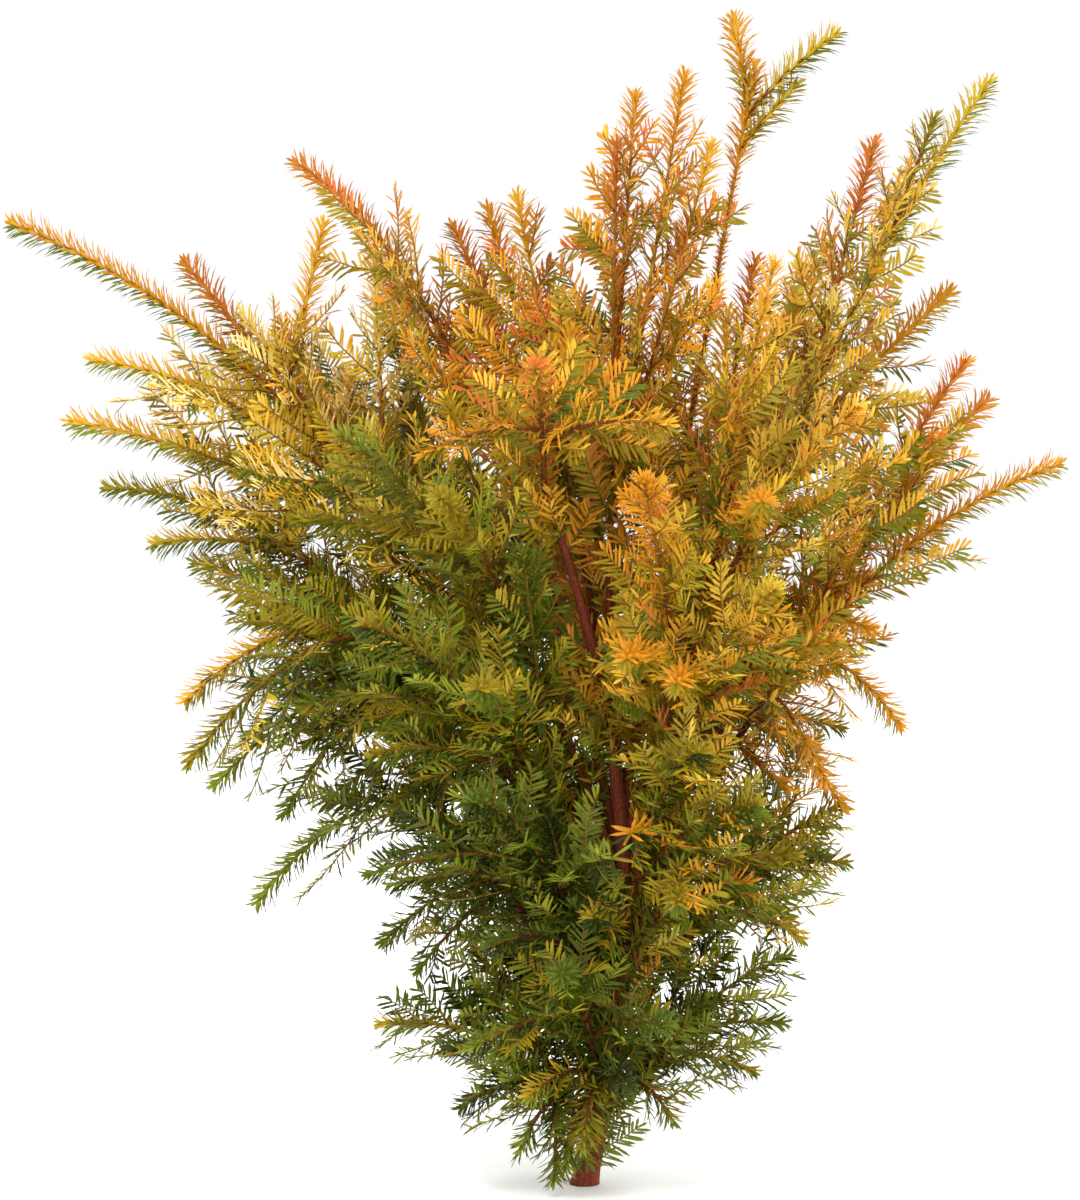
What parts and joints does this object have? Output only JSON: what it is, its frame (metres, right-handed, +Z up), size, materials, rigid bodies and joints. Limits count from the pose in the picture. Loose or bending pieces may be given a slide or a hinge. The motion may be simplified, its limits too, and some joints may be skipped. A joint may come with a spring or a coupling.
{
  "type": "golden yew shrub",
  "caption": "Young golden yew shrub rooted in the ground, a loose vase of steep boughs and long needled shoots on a short reddish stem.",
  "frame": {"origin": "middle of the flat cut under the stem, at ground level", "axes": "+Z up along the shrub's height, +X to the viewer's right, -Y towards the viewer"},
  "size_m": [0.7929, 0.5152, 0.897],
  "materials": {
    "bark": "rough, reddish brown and slightly scaly",
    "needles_green": "satin deep green needles",
    "needles_olive": "satin olive needles with golden tips",
    "needles_gold": "satin yellow-gold needles",
    "needles_amber": "satin orange-gold needles",
    "needles_russet": "satin russet needles"
  },
  "bodies": {
    "root": {"trunk": "bark", "bough_arch_left": "bark", "bough_back_left": "bark", "bough_back_left_up": "bark", "bough_back_middle": "bark", "bough_back_right": "bark", "bough_back_right_up": "bark", "bough_back_top": "bark", "bough_far_left": "bark", "bough_front_left": "bark", "bough_front_left_low": "bark", "bough_front_left_up": "bark", "bough_front_right": "bark", "bough_front_right_low": "bark", "bough_front_right_up": "bark", "bough_left_drop": "bark", "bough_left_gold": "bark", "bough_left_low": "bark", "bough_low_left": "bark", "bough_low_right": "bark", "bough_plume": "bark", "bough_red_cluster": "bark", "bough_right_drop": "bark", "bough_right_edge": "bark", "bough_right_long": "bark", "bough_tall_right": "bark", "bough_top_tuft": "bark", "foliage_arch_left": "needles_amber", "foliage_back_foot": "needles_green", "foliage_back_left": "needles_green", "foliage_back_left_up": "needles_olive", "foliage_back_middle": "needles_green", "foliage_back_right": "needles_olive", "foliage_back_right_up": "needles_amber", "foliage_back_top": "needles_amber", "foliage_far_left": "needles_gold", "foliage_foot_left": "needles_green", "foliage_foot_right": "needles_green", "foliage_front_foot": "needles_green", "foliage_front_left": "needles_green", "foliage_front_left_low": "needles_green", "foliage_front_left_up": "needles_olive", "foliage_front_middle": "needles_amber", "foliage_front_right": "needles_amber", "foliage_front_right_low": "needles_amber", "foliage_front_right_up": "needles_amber", "foliage_front_tip": "needles_amber", "foliage_left_drop": "needles_green", "foliage_left_gold": "needles_gold", "foliage_left_low": "needles_olive", "foliage_low_left": "needles_green", "foliage_low_right": "needles_olive", "foliage_plume": "needles_russet", "foliage_red_cluster": "needles_russet", "foliage_right_drop": "needles_amber", "foliage_right_edge": "needles_amber", "foliage_right_long": "needles_amber", "foliage_tall_right": "needles_olive", "foliage_top_tuft": "needles_olive"}
  },
  "joints": []
}
